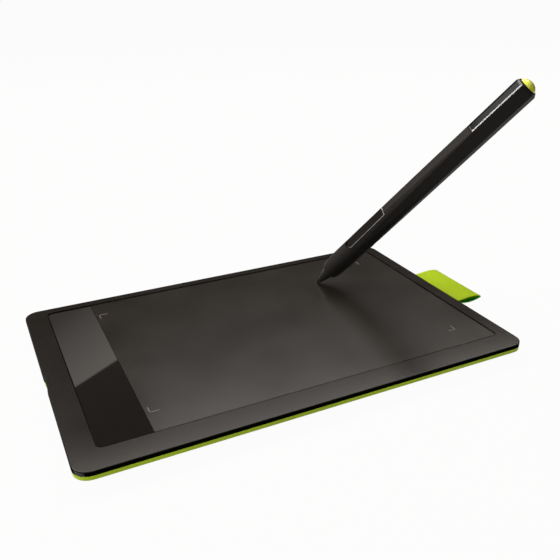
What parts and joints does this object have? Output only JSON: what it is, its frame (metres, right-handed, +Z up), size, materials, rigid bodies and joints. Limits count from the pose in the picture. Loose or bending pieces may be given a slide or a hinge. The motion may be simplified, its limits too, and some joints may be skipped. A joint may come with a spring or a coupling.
{
  "type": "graphics tablet",
  "caption": "Slim graphics tablet with a framed drawing sheet and touch strip, a fabric pen loop, and a cordless pen leaning over the sheet.",
  "frame": {"origin": "middle of the tablet's footprint on the desk, at the feet's underside", "axes": "+X towards the side with the pen loop, +Y away from the user, +Z up from the desk"},
  "size_m": [0.2333, 0.146, 0.1258],
  "materials": {
    "charcoal_cover": "fine satin texture, polished side band",
    "lime_cover": "satin moulded lime",
    "drawing_surface": "matt paper-feel sheet",
    "smoked_panel": "polished smoked plastic",
    "led_lens": "clear resin",
    "circuit_board": "green solder mask",
    "foam_film": "soft film",
    "shield_steel": "thin sheet",
    "chip_resin": "moulded epoxy",
    "socket_shell": "folded plated sheet",
    "socket_body": "moulded insulator",
    "contact_gold": "gold plated",
    "loop_fabric": "woven ribbon",
    "anchor_plastic": "moulded",
    "foot_rubber": "matt rubber",
    "screw_steel": "blackened steel",
    "nib_plastic": "hard nib plastic",
    "cone_plastic": "satin plastic",
    "holder_plastic": "moulded",
    "ferrite": "sintered ferrite",
    "coil_copper": "enamelled wire",
    "sensor_can": "pressed can",
    "carrier_plastic": "moulded",
    "barrel_plastic": "fine matt texture",
    "rocker_plastic": "polished",
    "inlay_plastic": "polished",
    "dome_plastic": "polished lime"
  },
  "bodies": {
    "tablet": {"top_cover": "charcoal_cover", "bottom_cover": "lime_cover", "drawing_sheet": "drawing_surface", "strip_panel": "smoked_panel", "status_led": "led_lens", "sensor_board": "circuit_board", "spacer_film": "foam_film", "shield_plate": "shield_steel", "controller_chip": "chip_resin", "board_chips": "chip_resin", "usb_shell": "socket_shell", "usb_insulator": "socket_body", "usb_contacts": "contact_gold", "pen_loop": "loop_fabric", "loop_anchor": "anchor_plastic", "rubber_feet": "foot_rubber", "case_screws": "screw_steel"},
    "pen": {"barrel": "barrel_plastic", "front_cone": "cone_plastic", "gloss_inlay": "inlay_plastic", "end_dome": "dome_plastic", "ferrite_core": "ferrite", "coil_winding": "coil_copper", "pressure_sensor": "sensor_can", "inner_carrier": "carrier_plastic", "pen_board": "circuit_board", "pen_chips": "chip_resin", "side_switches": "chip_resin"},
    "pen_tip": {"nib": "nib_plastic", "nib_holder": "holder_plastic"},
    "side_rocker": {"switch_rocker": "rocker_plastic"}
  },
  "joints": [
    {"name": "pen_lift", "type": "slide", "parent": "tablet", "child": "pen", "axis": [0, 0, 1], "range_m": [0, 0.05]},
    {"name": "nib_press", "type": "slide", "parent": "pen", "child": "pen_tip", "axis": [0.489, -0.4669, 0.7368], "range_m": [0, 0.0004], "stiffness_N_per_m": 2500, "springref_m": -0.0001},
    {"name": "side_switch", "type": "hinge", "parent": "pen", "child": "side_rocker", "pos_m": [0.0678, 0.01534, 0.04418], "axis": [-0.2221, -0.8835, -0.4125], "range_deg": [-2.4, 2.4], "stiffness_Nm_per_rad": 0.3}
  ]
}
